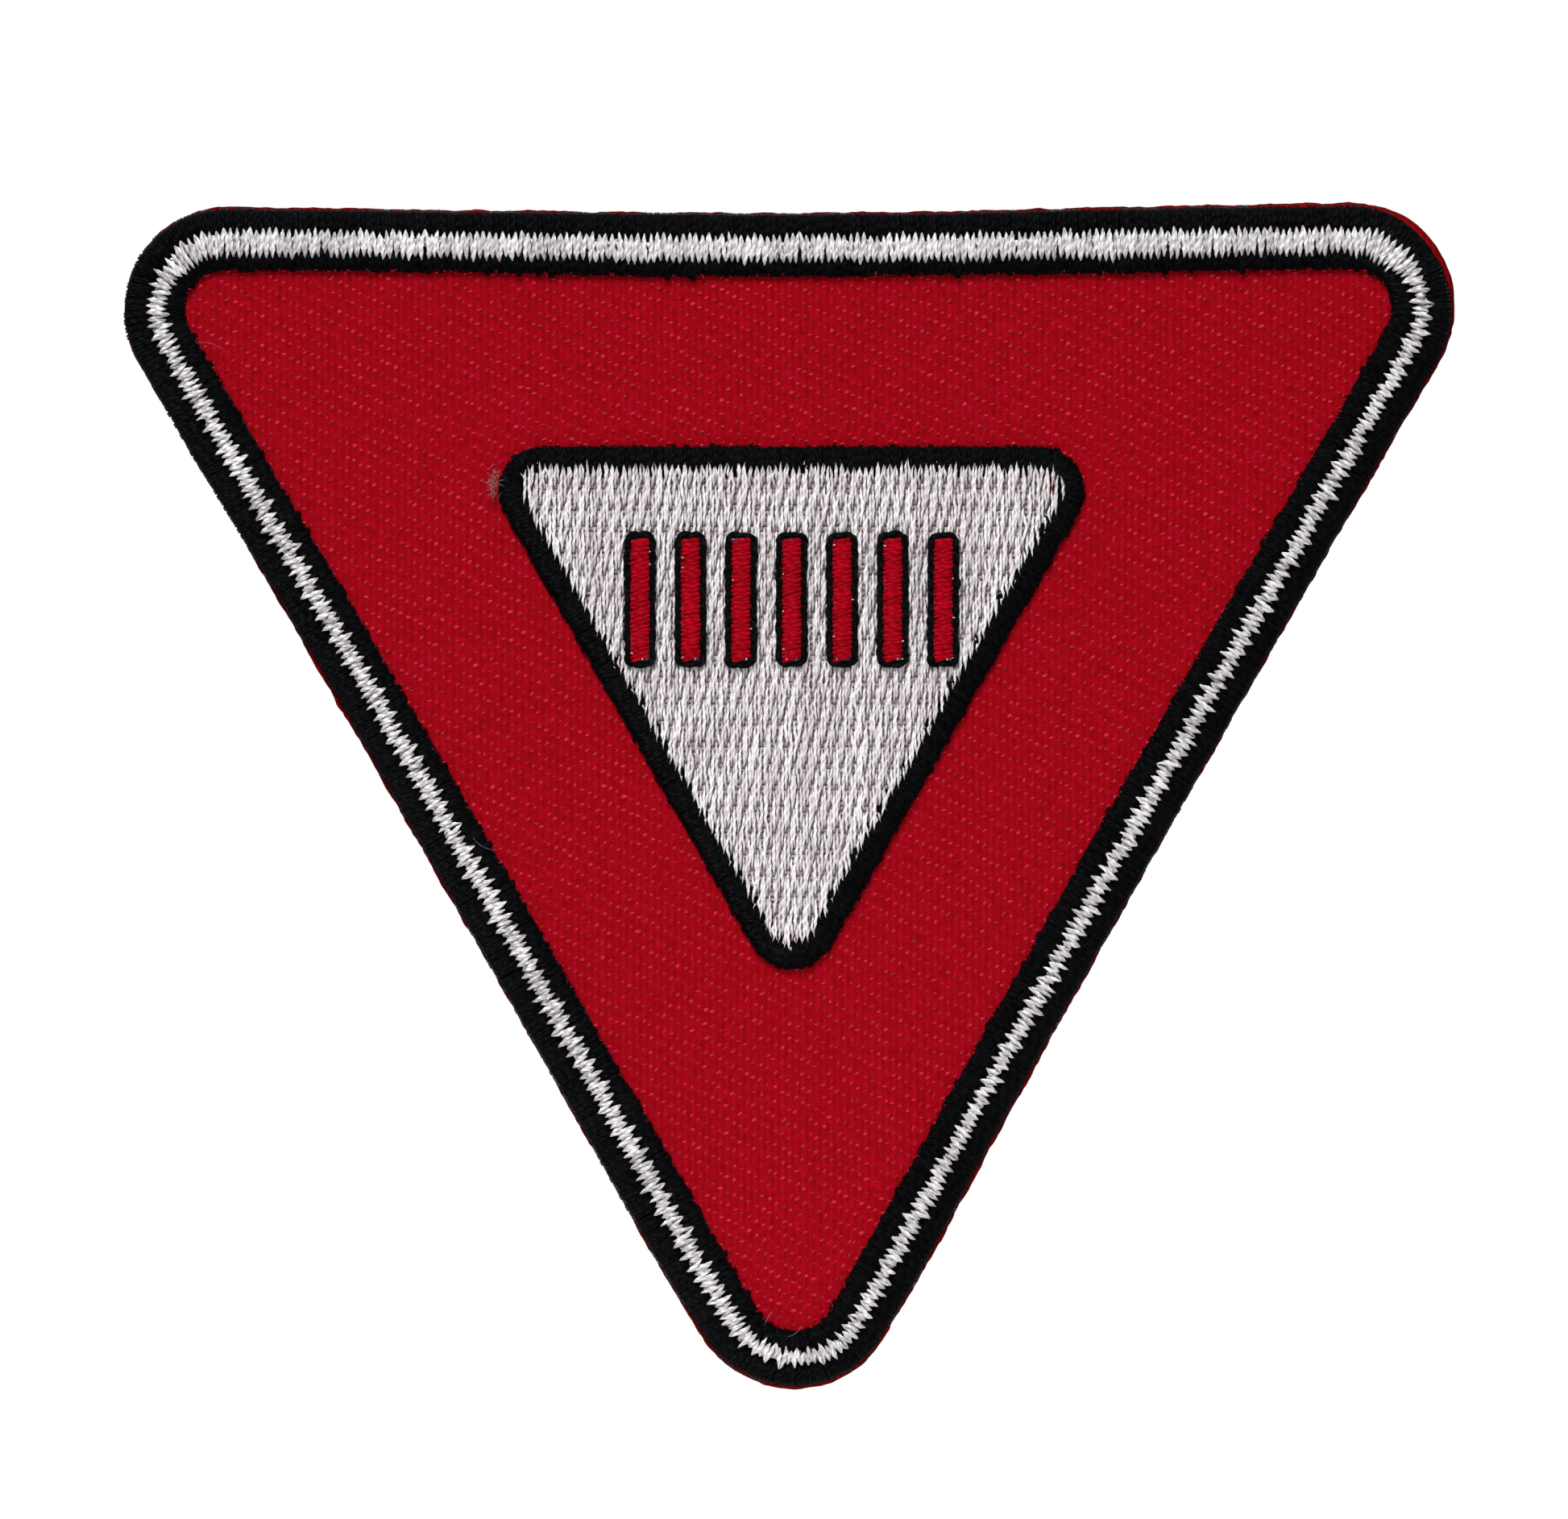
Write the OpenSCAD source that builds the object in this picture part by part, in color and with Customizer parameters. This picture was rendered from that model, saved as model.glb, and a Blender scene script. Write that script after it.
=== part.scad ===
// Embroidered iron-on patch shaped like a yield sign: a rounded triangle, point down.
// Red twill carries a black, white and black satin border, and a small white triangle
// with a black edge and a row of plain red bars. The face looks along -Y and the flat
// heat-seal back lies in the plane y = 0. The origin is on the back, at the centre that
// the nested triangles share. Each layer is drawn lying down, with its thickness along z
// and its back at z = 0, and upright() stands it up.

/* [Outline] */
// Width of the patch across its top edge
patch_w = 88.9; // [70:0.1:110]
// Radius of the three outer corners
corner_r = 6.7; // [5:0.1:10]
// Angle between the top edge and each side, in degrees
corner_angle = 60.2; // [55:0.1:65]

/* [Fabric layers] */
// Thickness of the heat-seal adhesive film on the back
film_t = 0.4; // [0.3:0.05:0.8]
// Thickness of the non-woven stabilizer behind the twill
stabilizer_t = 0.3; // [0.2:0.05:0.6]
// Thickness of the red twill
twill_t = 0.35; // [0.2:0.05:0.6]

/* [Hidden threads] */
// Thickness of the bobbin thread pressed into the adhesive film
bobbin_t = 0.14; // [0.08:0.01:0.15]
// Thickness of the underlay stitches beneath satin and fill
underlay_t = 0.14; // [0.08:0.01:0.2]
// Satin on each side of the underlay inside a band
underlay_margin = 0.27; // [0.2:0.01:0.4]
// Satin on each side of the bobbin thread behind a band
bobbin_margin = 0.36; // [0.2:0.01:0.45]

/* [Border] */
// Width of bare cut twill outside the border
cut_edge_w = 0.15; // [0:0.05:0.6]
// Width of the outer black satin band
outer_black_w = 1.34; // [1:0.01:2]
// Width of the white satin band
white_w = 1.27; // [1:0.01:2]
// Width of the inner black satin band
inner_black_w = 1.35; // [1:0.01:2]
// Height of the border's crests above the twill
border_h = 0.75; // [0.5:0.05:1.2]
// Height at which neighbouring border bands meet
border_side_h = 0.45; // [0.3:0.05:0.5]

/* [Panel] */
// Width of the panel across its top edge
panel_w = 39.3; // [30:0.1:50]
// Radius of the panel's corners
panel_corner_r = 2.96; // [2:0.02:5]
// Width of the panel's black satin edge
panel_edge_w = 1.4; // [1:0.05:1.9]
// Height of the panel's black satin edge above the twill
panel_edge_h = 0.6; // [0.5:0.05:1]
// Thickness of the white fill stitches
fill_h = 0.4; // [0.3:0.05:0.45]

/* [Bars] */
// Number of plain bars
bar_count = 7; // [3:2:7]
// Width of a bar's red satin
bar_w = 1.25; // [0.8:0.05:1.6]
// Length of a bar's red satin
bar_len = 8.2; // [4:0.1:10]
// Distance from the panel's top edge down to the row of bars
bar_drop = 5.75; // [2.5:0.05:8]
// Height of a bar's crest above the fill
bar_h = 0.45; // [0.35:0.05:0.8]
// Corner radius of a bar
bar_corner_r = 0.35; // [0.1:0.05:0.4]
// Width of the black run stitches round a bar
bar_outline_w = 0.43; // [0.2:0.01:0.6]
// Height of the black run stitches above the fill
bar_outline_h = 0.32; // [0.2:0.02:0.34]
// Clear fill between the row's lower corners and the panel's edge
bar_margin = 0.5; // [0.3:0.1:2]

/* [Hidden] */
$fn = 96;

// Radius of the circle that just fits inside a rounded triangle of width w, whose corners
// have radius r. The patch and the panel share that circle's centre.
function circle_r(w, r) = (w / 2 - r) * tan(corner_angle / 2) + r;
inner_circle_r = circle_r(patch_w, corner_r);
panel_circle_r = circle_r(panel_w, panel_corner_r);

// The sharp triangle that the rounded outline is drawn in
half_base = inner_circle_r / tan(corner_angle / 2);
sharp_corners = [
    [half_base, inner_circle_r],
    [-half_base, inner_circle_r],
    [0, inner_circle_r - half_base * tan(corner_angle)]
];

// Where each corner's arc starts and ends, anticlockwise from the top right
tri_starts = [corner_angle - 90, 90, 270 - corner_angle];
tri_ends = [90, 270 - corner_angle, 270 + corner_angle];
box_starts = [0, 90, 180, 270];
box_ends = [90, 180, 270, 360];

// Heights of the layers above the back
stabilizer_z = film_t;
twill_z = stabilizer_z + stabilizer_t;
face_z = twill_z + twill_t;
fill_top_z = face_z + fill_h;
bobbin_z = film_t - bobbin_t;
bar_bobbin_z = bobbin_z - bobbin_t;

// How far in from the patch's edge each border band starts
outer_black_in = cut_edge_w;
white_in = outer_black_in + outer_black_w;
inner_black_in = white_in + white_w;

// The panel is centred in the patch, and the white fill fits inside the panel's edge
panel_inset = inner_circle_r - panel_circle_r;
fill_in = panel_inset + panel_edge_w;
fill_corner_r = panel_corner_r - panel_edge_w;
fill_circle_r = inner_circle_r - fill_in;

// The row of bars is as wide as the fill allows at the bars' feet
bar_z = panel_circle_r - bar_drop - bar_outline_w - bar_len / 2;
bar_foot_z = bar_z - bar_len / 2 - bar_outline_w;
fill_half_base = fill_circle_r / tan(corner_angle / 2);
fill_half_w = fill_half_base - (fill_circle_r - bar_foot_z) / tan(corner_angle);
row_half_w = fill_half_w - bar_margin - bar_w / 2 - bar_outline_w;
bar_pitch = 2 * row_half_w / (bar_count - 1);

// Heights of the sides of the domed bands
panel_side_h = fill_h;
bar_side_h = bar_outline_h;

// Straight stretches lie a hair inside the corner arcs that they join, and the extruded
// runs of a satin band lap into its turned corners, so that each union is a clean one
hair = 0.01;
run_lap = 0.08;

// Hidden threads under the satin, the fill and the bars
groove_gap = 0.03;
fill_underlay_gap = 0.8;
fill_bobbin_gap = 0.1;
bar_thread_end = 0.3;
travel_w = 0.3;
cut = 1;

red = [0.6, 0.02, 0.09];
black = [0.03, 0.03, 0.04];
white = [0.92, 0.91, 0.92];
thread_white = [0.85, 0.85, 0.83];
film_clear = [0.86, 0.86, 0.8];

// Centres of the corner arcs of a rounded triangle that lies a distance in from the edge
function tri_centres(inset, r) =
    sharp_corners * ((inner_circle_r - inset - r) / inner_circle_r);

// Centres of the corner arcs of a rounded rectangle
function box_centres(w, l, r) = [
    [w / 2 - r, l / 2 - r],
    [r - w / 2, l / 2 - r],
    [r - w / 2, r - l / 2],
    [w / 2 - r, r - l / 2]
];

function bar_x(i) = (i - (bar_count + 1) / 2) * bar_pitch;

module upright() {
    rotate([90, 0, 0]) children();
}

// Filled outline whose corners are arcs of radius r about the given centres
module rounded(centres, starts, ends, r) {
    polygon([
        for (i = [0:len(centres) - 1])
            for (a = [starts[i], ends[i]])
                centres[i] + (r - hair) * [cos(a), sin(a)]
    ]);
    for (c = centres) translate(c) circle(r = r);
}

module tri_outline(inset, r) {
    rounded(tri_centres(inset, r), tri_starts, tri_ends, r);
}

module box_outline(w, l, r) {
    rounded(box_centres(w, l, r), box_starts, box_ends, r);
}

// Flat thread lying along the middle of a band: inset, r and w are the band's own edge
// distance, corner radius and width, and margin is what the band keeps on each side
module thread_ring(inset, r, w, margin, t) {
    linear_extrude(t)
        difference() {
            tri_outline(inset + margin, r - margin);
            tri_outline(inset + w - margin, r - w + margin);
        }
}

// Cross-section of a domed satin band, hollowed beneath for its underlay. Here x is the
// distance from the centre of a corner arc and y is the height.
module satin_section(outer_r, w, h, side_h) {
    rise = h - side_h;
    dome_r = (w * w / 4 + rise * rise) / (2 * rise);
    groove_w = w - 2 * underlay_margin + 2 * groove_gap;
    translate([outer_r - w / 2, 0])
        difference() {
            intersection() {
                translate([-w / 2, 0]) square([w, h]);
                translate([0, h - dome_r]) circle(r = dome_r);
            }
            translate([-groove_w / 2, -cut]) square([groove_w, underlay_t + cut]);
        }
}

// Domed satin band round a rounded triangle. The corners are turned and the straight
// runs extruded.
module satin_ring(inset, r, w, h, side_h) {
    centres = tri_centres(inset, r);
    for (i = [0:2]) {
        next = centres[(i + 1) % 3];
        translate(centres[i])
            rotate(tri_starts[i])
                rotate_extrude(angle = tri_ends[i] - tri_starts[i])
                    satin_section(r, w, h, side_h);
        translate(next)
            rotate(tri_ends[i])
                rotate([90, 0, 0])
                    translate([0, 0, -run_lap])
                        linear_extrude(norm(next - centres[i]) + 2 * run_lap)
                            satin_section(r - hair, w - 2 * hair, h - hair, side_h - hair);
    }
}

module border_satin(inset, w) {
    translate([0, 0, face_z])
        satin_ring(inset, corner_r - inset, w, border_h, border_side_h);
}

module border_underlay(inset, w) {
    translate([0, 0, face_z])
        thread_ring(inset, corner_r - inset, w, underlay_margin, underlay_t);
}

module border_bobbin(inset, w) {
    translate([0, 0, bobbin_z])
        thread_ring(inset, corner_r - inset, w, bobbin_margin, bobbin_t);
}

module panel_edge_satin() {
    translate([0, 0, face_z])
        satin_ring(panel_inset, panel_corner_r, panel_edge_w, panel_edge_h, panel_side_h);
}

module panel_edge_underlay() {
    translate([0, 0, face_z])
        thread_ring(panel_inset, panel_corner_r, panel_edge_w, underlay_margin, underlay_t);
}

module panel_edge_bobbin() {
    translate([0, 0, bobbin_z])
        thread_ring(panel_inset, panel_corner_r, panel_edge_w, bobbin_margin, bobbin_t);
}

module fill_underlay() {
    translate([0, 0, face_z])
        linear_extrude(underlay_t)
            tri_outline(fill_in + fill_underlay_gap, fill_corner_r);
}

module fill_bobbin() {
    translate([0, 0, bobbin_z])
        linear_extrude(bobbin_t)
            tri_outline(fill_in + fill_bobbin_gap, fill_corner_r);
}

// Bobbin thread behind the bars, with one travelling stitch that joins them
module bars_bobbin() {
    translate([0, bar_z, bar_bobbin_z])
        linear_extrude(bobbin_t) {
            for (i = [1:bar_count])
                translate([bar_x(i), 0])
                    square([bar_w - 2 * bobbin_margin, bar_len - 2 * bar_thread_end], center = true);
            translate([bar_x(1), -bar_len / 4])
                square([bar_x(bar_count) - bar_x(1), travel_w]);
        }
}

module bars_underlay() {
    translate([0, bar_z, fill_top_z])
        linear_extrude(underlay_t)
            for (i = [1:bar_count])
                translate([bar_x(i), 0])
                    square([bar_w - 2 * underlay_margin, bar_len - 2 * bar_thread_end], center = true);
}

module adhesive_film() {
    color(film_clear)
        upright()
            difference() {
                linear_extrude(film_t) tri_outline(0, corner_r);
                border_bobbin(outer_black_in, outer_black_w);
                border_bobbin(white_in, white_w);
                border_bobbin(inner_black_in, inner_black_w);
                panel_edge_bobbin();
                fill_bobbin();
                bars_bobbin();
            }
}

module stabilizer() {
    color(thread_white)
        upright()
            translate([0, 0, stabilizer_z])
                linear_extrude(stabilizer_t) tri_outline(0, corner_r);
}

module twill_base() {
    color(red)
        upright()
            translate([0, 0, twill_z])
                linear_extrude(twill_t) tri_outline(0, corner_r);
}

module border_black_outer() {
    color(black) upright() border_satin(outer_black_in, outer_black_w);
}

module border_white() {
    color(white) upright() border_satin(white_in, white_w);
}

module border_black_inner() {
    color(black) upright() border_satin(inner_black_in, inner_black_w);
}

module panel_edge() {
    color(black) upright() panel_edge_satin();
}

module panel_fill() {
    color(white)
        upright()
            difference() {
                translate([0, 0, face_z])
                    linear_extrude(fill_h) tri_outline(fill_in, fill_corner_r);
                fill_underlay();
            }
}

// Red satin bar: the dome runs along its length and its corners are rounded
module bar(i) {
    color(red)
        upright()
            difference() {
                translate([bar_x(i), bar_z, fill_top_z])
                    intersection() {
                        linear_extrude(bar_h) box_outline(bar_w, bar_len, bar_corner_r);
                        translate([0, bar_len / 2 + cut, 0])
                            rotate([90, 0, 0])
                                linear_extrude(bar_len + 2 * cut)
                                    bar_section();
                    }
                bars_underlay();
            }
}

// Cross-section of the dome that a bar is cut from, a little wider than the bar
module bar_section() {
    rise = bar_h - bar_side_h;
    dome_r = (bar_w * bar_w / 4 + rise * rise) / (2 * rise);
    intersection() {
        translate([-bar_w, 0]) square([2 * bar_w, bar_h]);
        translate([0, bar_h - dome_r]) circle(r = dome_r);
    }
}

module bar_outline(i) {
    outer_w = bar_w + 2 * bar_outline_w;
    outer_len = bar_len + 2 * bar_outline_w;
    color(black)
        upright()
            translate([bar_x(i), bar_z, fill_top_z])
                linear_extrude(bar_outline_h)
                    difference() {
                        box_outline(outer_w, outer_len, bar_corner_r + bar_outline_w);
                        box_outline(bar_w, bar_len, bar_corner_r);
                    }
}

module underlay_border_outer() {
    color(thread_white) upright() border_underlay(outer_black_in, outer_black_w);
}

module underlay_border_white() {
    color(thread_white) upright() border_underlay(white_in, white_w);
}

module underlay_border_inner() {
    color(thread_white) upright() border_underlay(inner_black_in, inner_black_w);
}

module underlay_panel_edge() {
    color(thread_white) upright() panel_edge_underlay();
}

module underlay_panel_fill() {
    color(thread_white) upright() fill_underlay();
}

module underlay_bars() {
    color(thread_white) upright() bars_underlay();
}

module bobbin_border_outer() {
    color(thread_white) upright() border_bobbin(outer_black_in, outer_black_w);
}

module bobbin_border_white() {
    color(thread_white) upright() border_bobbin(white_in, white_w);
}

module bobbin_border_inner() {
    color(thread_white) upright() border_bobbin(inner_black_in, inner_black_w);
}

module bobbin_panel_edge() {
    color(thread_white) upright() panel_edge_bobbin();
}

module bobbin_panel_fill() {
    color(thread_white) upright() fill_bobbin();
}

module bobbin_bars() {
    color(thread_white) upright() bars_bobbin();
}

adhesive_film();
stabilizer();
twill_base();
border_black_outer();
border_white();
border_black_inner();
panel_edge();
panel_fill();
bar(1);  // bar_1
bar(2);  // bar_2
bar(3);  // bar_3
bar(4);  // bar_4
bar(5);  // bar_5
bar(6);  // bar_6
bar(7);  // bar_7
bar_outline(1);  // bar_outline_1
bar_outline(2);  // bar_outline_2
bar_outline(3);  // bar_outline_3
bar_outline(4);  // bar_outline_4
bar_outline(5);  // bar_outline_5
bar_outline(6);  // bar_outline_6
bar_outline(7);  // bar_outline_7
underlay_border_outer();
underlay_border_white();
underlay_border_inner();
underlay_panel_edge();
underlay_panel_fill();
underlay_bars();
bobbin_border_outer();
bobbin_border_white();
bobbin_border_inner();
bobbin_panel_edge();
bobbin_panel_fill();
bobbin_bars();
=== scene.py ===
"""An embroidered iron-on patch in the shape of a give-way sign, built thread by thread.

Lengths are in millimetres until a mesh is made. A point is (u, v, h): u to the right and v
up across the face, and h the height above the flat back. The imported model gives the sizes
of the layers and bands, and the stitches are laid along its outlines.
"""

import math

import bpy
import numpy as np
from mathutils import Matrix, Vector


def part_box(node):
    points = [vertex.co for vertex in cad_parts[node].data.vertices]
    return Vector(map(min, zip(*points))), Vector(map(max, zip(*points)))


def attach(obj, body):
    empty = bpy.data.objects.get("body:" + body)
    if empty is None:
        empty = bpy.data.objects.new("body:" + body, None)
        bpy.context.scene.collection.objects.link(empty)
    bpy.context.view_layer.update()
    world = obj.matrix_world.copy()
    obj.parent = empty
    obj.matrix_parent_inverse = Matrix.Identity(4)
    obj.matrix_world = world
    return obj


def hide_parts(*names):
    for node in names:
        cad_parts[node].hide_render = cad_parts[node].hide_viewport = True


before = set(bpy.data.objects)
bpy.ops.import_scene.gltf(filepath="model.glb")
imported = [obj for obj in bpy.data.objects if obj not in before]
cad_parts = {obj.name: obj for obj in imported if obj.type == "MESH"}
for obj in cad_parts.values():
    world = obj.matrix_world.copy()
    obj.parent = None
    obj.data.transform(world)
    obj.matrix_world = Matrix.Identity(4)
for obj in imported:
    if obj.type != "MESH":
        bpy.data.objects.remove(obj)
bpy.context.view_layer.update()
ROOT = "root"
MM = 0.001
rng = np.random.default_rng(35)

# ---------------- sizes from the frame


def cad_size(node):
    """Lowest and highest (u, v, h) of a CAD node."""
    lo, hi = (np.array(c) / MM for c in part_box(node))
    return np.array([lo[0], lo[2], -hi[1]]), np.array([hi[0], hi[2], -lo[1]])


def width(node):
    lo, hi = cad_size(node)
    return hi[0] - lo[0]


def top(node):
    return cad_size(node)[1][2]


CORNER_R = 6.7
CORNER_ANGLE = math.radians(60.2)
PANEL_CORNER_R = 2.96
PATCH_W = width("twill_base")
FILM_H = top("adhesive_film")
STAB_H = top("stabilizer")
FACE_H = top("twill_base")
FILL_H = top("panel_fill")
BORDER_TOP = top("border_white")
EDGE_TOP = top("panel_edge")
BAR_TOP = top("bar_1")
# Inside those layers: the back's threads, the cloth below its floats, and the black bands
BACK_H = 0.09
TWILL_TOP = FACE_H - 0.06
BLACK_END = FACE_H - 0.02
BLACK_CREST = FACE_H + 0.5
EDGE_CREST = EDGE_TOP - 0.12


def edge_depth(node, outer_w):
    """How far a ring's outer edge lies inside an outline of the given width."""
    return (outer_w - width(node)) / 2


OUTER_IN = edge_depth("border_black_outer", PATCH_W)
WHITE_IN = edge_depth("border_white", PATCH_W)
INNER_IN = edge_depth("border_black_inner", PATCH_W)
# The inner black band's width, as a share of the white band's
INNER_SHARE = 1.06
FIELD_IN = INNER_IN + (INNER_IN - WHITE_IN) * INNER_SHARE
PANEL_W = width("panel_edge")
FILL_DEPTH = edge_depth("panel_fill", PANEL_W)
BAR_NUMBERS = range(1, 8)

# 40-weight thread: a pair of satin stitches every 0.43 mm, and two plies that wind round
SATIN_PITCH = 0.432
PLY_TURNS = 1.6
# The white fill's columns, and how far apart the needle holes of a column are
FILL_PITCH = 0.2025
FILL_STITCH = 2.88
# The twill: how far apart its yarns are, the rise from one to the next, and the repeat
YARN_ACROSS = 0.464
YARN_STEP = 0.232
YARN_REPEAT = 0.961

# ---------------- short ways to say things


def jitter(size, count):
    return rng.normal(0, size, count)


def between(a, b, t):
    """From a to b, at parts t of the way."""
    return a * (1 - t) + b * t


def swell(t):
    """From 0 at the ends of a stitch to 1 in its middle."""
    return np.sin(math.pi * t)


def taper(t, low, high, power):
    """A swell whose ends are cut off at low and high."""
    return swell(np.clip(t, low, high)) ** power


def zigzag(count):
    """1 and -1 in turn, down a column."""
    return np.where(np.arange(count) % 2 == 0, 1.0, -1.0)[:, None]


def joined(*numbers):
    """Points from their two or three numbers, each an array or one number for all."""
    return np.stack(np.broadcast_arrays(*numbers), -1)


def raised(points, h):
    """(u, v) points with their height."""
    return joined(points[..., 0], points[..., 1], h)


# ---------------- outlines


def circle_r(w, r):
    """Radius of the circle inside a rounded triangle of width w and corner radius r."""
    return (w / 2 - r) * math.tan(CORNER_ANGLE / 2) + r


PATCH_CIRCLE = circle_r(PATCH_W, CORNER_R)
PANEL_CIRCLE = circle_r(PANEL_W, PANEL_CORNER_R)
FILL_CIRCLE, FILL_R = PANEL_CIRCLE - FILL_DEPTH, PANEL_CORNER_R - FILL_DEPTH
SIDE_ANGLES = np.array(
    [math.pi / 2, 1.5 * math.pi - CORNER_ANGLE, 1.5 * math.pi + CORNER_ANGLE]
)
SIDE_NORMALS = np.stack([np.cos(SIDE_ANGLES), np.sin(SIDE_ANGLES)], 1)
# How far the stitching pulls each side out of true, at these places along it: at the
# patch's edge and at the inside of the border (top, left and right sides)
PULL_AT = np.array([-37, -33, -28, -22, -15, -8, 0, 8, 15, 22, 28, 33, 37])
EDGE_PULL = np.array([
    [27, 21, 16, 7, -9, -24, -29, -25, -19, -13, -6, 3, 10],
    [23, 25, 18, 1, -11, -12, -11, -10, -7, -3, 2, 0, -6],
    [30, 32, 22, 5, -2, -2, -4, -5, -5, -5, -4, 1, 3],
]) / 100
FIELD_PULL = np.array([
    [3, -2, -11, -24, -34, -41, -47, -47, -35, -20, -12, -7, -2],
    [17, 14, 10, 4, -5, -9, -12, -14, -12, -12, -12, -7, -3],
    [36, 31, 22, 13, 4, -4, -8, -8, -7, -4, 0, 0, -3],
]) / 100
BORDER_DEPTH = 4.1
# The pull starts at this share of the way from the middle to the border
PULL_START = 0.52
PANEL_SHIFT = 0.13
PANEL_FADE = 3
TIP_START = -43
TIP_LENGTH = 7.7
TIP_BLUNT = 0.5
# The corner where the red cloth shows most, and how far round it that reaches, in degrees
CORNER_HEADING = 45
CORNER_SPREAD = 32


class Loop:
    """A line with rounded corners, walked anticlockwise from the first corner's arc.

    centres and r are its corners' circles, and headings its sides' outward directions.
    """

    def __init__(self, centres, headings, r):
        self.centres, self.r = centres, r
        self.normals = np.stack([np.cos(headings), np.sin(headings)], 1)
        self.turns = np.append(headings[-1] - 2 * math.pi, headings[:-1])
        self.starts, self.length = [], 0.0
        for i, centre in enumerate(centres):
            arc = (headings[i] - self.turns[i]) * r
            run = float(np.linalg.norm(centres[(i + 1) % len(centres)] - centre))
            self.starts += [self.length, self.length + arc]
            self.length += arc + run

    def at(self, s, out=0.0):
        """Points at lengths s along the line and a distance out from it, and their normals."""
        s = np.asarray(s, float) % self.length
        out = np.broadcast_to(np.asarray(out, float), s.shape)[..., None]
        points = np.zeros(s.shape + (2,))
        normals = np.zeros(s.shape + (2,))
        for k, start in enumerate(self.starts):
            i, here = k // 2, s >= start
            if k % 2 == 0:
                angle = self.turns[i] + (s - start) / self.r
                n = joined(np.cos(angle), np.sin(angle))
                p = self.centres[i] + n * (self.r + out)
            else:
                n = np.broadcast_to(self.normals[i], points.shape)
                along = joined(-n[..., 1], n[..., 0])
                p = self.centres[i] + n * (self.r + out) + along * (s - start)[..., None]
            points[here] = p[here]
            normals[here] = n[here]
        return points, normals


def triangle(inner_circle, r):
    """The sign's rounded triangle. Its first corner is the upper right one."""
    half = inner_circle / math.tan(CORNER_ANGLE / 2)
    low = inner_circle - half * math.tan(CORNER_ANGLE)
    sharp = np.array([[half, inner_circle], [-half, inner_circle], [0, low]])
    return Loop(sharp * (inner_circle - r) / inner_circle, SIDE_ANGLES, r)


def border_loop(depth):
    """The line a depth inside the patch's edge."""
    return triangle(PATCH_CIRCLE - depth, CORNER_R - depth)


def panel_loop(depth):
    return triangle(PANEL_CIRCLE - depth, PANEL_CORNER_R - depth)


def depth_in(p, circle, r):
    """How deep points lie inside a rounded triangle."""
    past = (p @ SIDE_NORMALS.T - (circle - r)).max(-1)
    nearest = np.full(p.shape[:-1], 1e9)
    centres = triangle(circle, r).centres
    for a, b in zip(centres, np.roll(centres, -1, 0)):
        t = np.clip(((p - a) @ (b - a)) / ((b - a) @ (b - a)), 0, 1)
        nearest = np.minimum(nearest, np.linalg.norm(p - a - t[..., None] * (b - a), axis=-1))
    return r - np.where(past <= 0, past, nearest)


def pulled(p):
    """The cloth as the stitching pulls it: bowed sides, a blunt tip, and the panel moved."""
    p = np.array(p, float)
    out = p.copy()
    furthest = np.full(p.shape[:-1], -1e9)
    for n, edge, field in zip(SIDE_NORMALS, EDGE_PULL, FIELD_PULL):
        away = p[..., 0] * n[0] + p[..., 1] * n[1]
        along = p[..., 1] * n[0] - p[..., 0] * n[1]
        k = np.clip((PATCH_CIRCLE - away) / BORDER_DEPTH, 0, 1)
        near = (away / (PATCH_CIRCLE - BORDER_DEPTH) - PULL_START) / (1 - PULL_START)
        pull = np.interp(along, PULL_AT, edge) * (1 - k) + np.interp(along, PULL_AT, field) * k
        out[..., :2] += (np.clip(near, 0, 1) ** 1.5 * pull)[..., None] * n
        furthest = np.maximum(furthest, away)
    t = np.clip((PANEL_CIRCLE + PANEL_FADE - furthest) / PANEL_FADE, 0, 1)
    out[..., 0] += PANEL_SHIFT * t * t * (3 - 2 * t)
    tip = np.clip((TIP_START - p[..., 1]) / TIP_LENGTH, 0, 1.2)
    out[..., 1] += TIP_BLUNT * tip**1.5
    return out


def by_side(normals, values):
    """A value for each side, blended round the corners."""
    weight = np.clip(normals @ SIDE_NORMALS.T, 0, 1) ** 2
    return weight @ np.asarray(values) / weight.sum(-1)


def upper_right(normals):
    """How near a place on the outline is to its upper right corner, from 0 to 1."""
    heading = np.degrees(np.arctan2(normals[:, 1], normals[:, 0]))
    return np.exp(-(((heading - CORNER_HEADING) / CORNER_SPREAD) ** 2))


# ---------------- mesh making


def smooth_noise(s, period, step, seed):
    """Smooth random values from -1 to 1 along a closed line."""
    n = max(4, int(round(period / step)))
    r = np.random.default_rng(seed)
    knots = r.uniform(-1, 1, n)
    x = np.asarray(s) / period * n
    i = np.floor(x).astype(int)
    f = x - i
    f = f * f * (3 - 2 * f)
    return knots[i % n] * (1 - f) + knots[(i + 1) % n] * f


def to_world(p):
    p = pulled(p)
    return np.stack([p[..., 0], -p[..., 2], p[..., 1]], -1) * MM


def ring_faces(grid):
    """The faces between neighbouring rings of point numbers."""
    a, b = grid[..., :-1, :], grid[..., 1:, :]
    return np.stack([a, np.roll(a, -1, -1), np.roll(b, -1, -1), b], -1).reshape(-1, 4)


def add_object(name, data):
    obj = bpy.data.objects.new(name, data)
    bpy.context.scene.collection.objects.link(obj)
    return obj


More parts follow.
